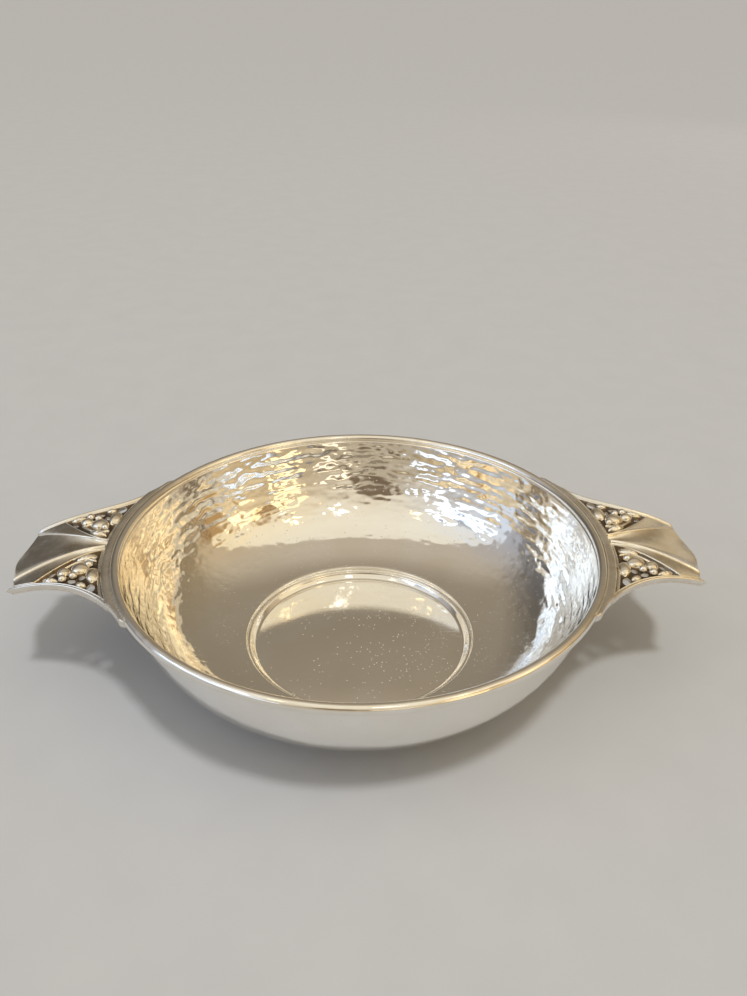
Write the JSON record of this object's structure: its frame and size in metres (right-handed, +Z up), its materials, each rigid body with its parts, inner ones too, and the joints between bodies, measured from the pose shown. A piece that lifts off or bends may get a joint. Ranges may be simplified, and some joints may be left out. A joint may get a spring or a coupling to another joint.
{
  "type": "quaich",
  "caption": "Shallow hand-raised silver cup with a hammered wall, a sunk well, a wired rim, a foot ring and flat drooping lugs with pierced foliate panels",
  "frame": {"origin": "middle of the foot ring's underside, on the table", "axes": "+Z up, X along the two lugs, -Y towards the viewer of the picture"},
  "size_m": [0.179, 0.127, 0.0358],
  "materials": {
    "bright_silver": "polished silver with hammer marks",
    "satin_silver": "satin silver",
    "warm_silver": "worn silver with a warm tarnish in the recesses"
  },
  "bodies": {
    "root": {"bowl": "bright_silver", "rim_wire": "bright_silver", "foot_ring": "satin_silver", "left_collar": "satin_silver", "left_plate": "satin_silver", "left_tongue": "warm_silver", "right_collar": "satin_silver", "right_plate": "satin_silver", "right_tongue": "warm_silver", "left_near_ridge": "warm_silver", "left_near_border": "satin_silver", "left_near_bead": "satin_silver", "left_near_stem": "warm_silver", "left_near_leaves": "warm_silver", "left_near_berries": "bright_silver", "left_far_ridge": "warm_silver", "left_far_border": "satin_silver", "left_far_bead": "satin_silver", "left_far_stem": "warm_silver", "left_far_leaves": "warm_silver", "left_far_berries": "bright_silver", "right_near_ridge": "warm_silver", "right_near_border": "satin_silver", "right_near_bead": "satin_silver", "right_near_stem": "warm_silver", "right_near_leaves": "warm_silver", "right_near_berries": "bright_silver", "right_far_ridge": "warm_silver", "right_far_border": "satin_silver", "right_far_bead": "satin_silver", "right_far_stem": "warm_silver", "right_far_leaves": "warm_silver", "right_far_berries": "bright_silver"}
  },
  "joints": []
}
